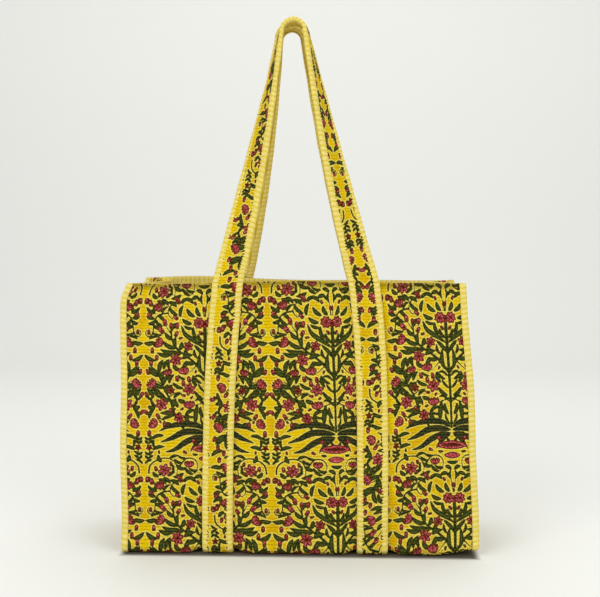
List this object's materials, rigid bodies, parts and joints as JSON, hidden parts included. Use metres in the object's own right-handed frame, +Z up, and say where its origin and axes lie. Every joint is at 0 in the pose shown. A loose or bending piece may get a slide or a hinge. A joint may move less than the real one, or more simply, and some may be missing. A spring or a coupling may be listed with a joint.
{
  "type": "knitting bag",
  "caption": "Quilted block-print cotton tote for knitting, with folding side gussets, bound seams, an open mouth and long shoulder straps hinged at the rim.",
  "frame": {"origin": "middle of the footprint on the floor, under the straps that run beneath the base", "axes": "+X to the right seen from the front, +Y from front to back, +Z up from the base to the handles"},
  "size_m": [0.458, 0.1706, 0.6881],
  "materials": {
    "print_cotton": "matte",
    "striped_cotton": "matte",
    "cotton_wadding": "matte"
  },
  "bodies": {
    "bag": {"body_print": "print_cotton", "body_wadding": "cotton_wadding", "body_lining": "striped_cotton", "left_gusset_print": "print_cotton", "left_gusset_wadding": "cotton_wadding", "left_gusset_lining": "striped_cotton", "right_gusset_print": "print_cotton", "right_gusset_wadding": "cotton_wadding", "right_gusset_lining": "striped_cotton", "left_seam_binding": "striped_cotton", "right_seam_binding": "striped_cotton", "mouth_facing": "striped_cotton", "left_strap_print": "print_cotton", "left_strap_wadding": "cotton_wadding", "left_strap_lining": "striped_cotton", "left_strap_inner_binding": "striped_cotton", "left_strap_outer_binding": "striped_cotton", "right_strap_print": "print_cotton", "right_strap_wadding": "cotton_wadding", "right_strap_lining": "striped_cotton", "right_strap_inner_binding": "striped_cotton", "right_strap_outer_binding": "striped_cotton"},
    "front_handle": {"front_handle_print": "print_cotton", "front_handle_wadding": "cotton_wadding", "front_handle_lining": "striped_cotton", "front_handle_inner_binding": "striped_cotton", "front_handle_outer_binding": "striped_cotton"},
    "back_handle": {"back_handle_print": "print_cotton", "back_handle_wadding": "cotton_wadding", "back_handle_lining": "striped_cotton", "back_handle_inner_binding": "striped_cotton", "back_handle_outer_binding": "striped_cotton"}
  },
  "joints": [
    {"name": "front_handle_fall", "type": "hinge", "parent": "bag", "child": "front_handle", "pos_m": [0, -0.0765, 0.34655], "axis": [1, 0, 0], "range_deg": [0, 170]},
    {"name": "back_handle_fall", "type": "hinge", "parent": "bag", "child": "back_handle", "pos_m": [0, 0.0765, 0.34655], "axis": [-1, 0, 0], "range_deg": [0, 170]}
  ]
}
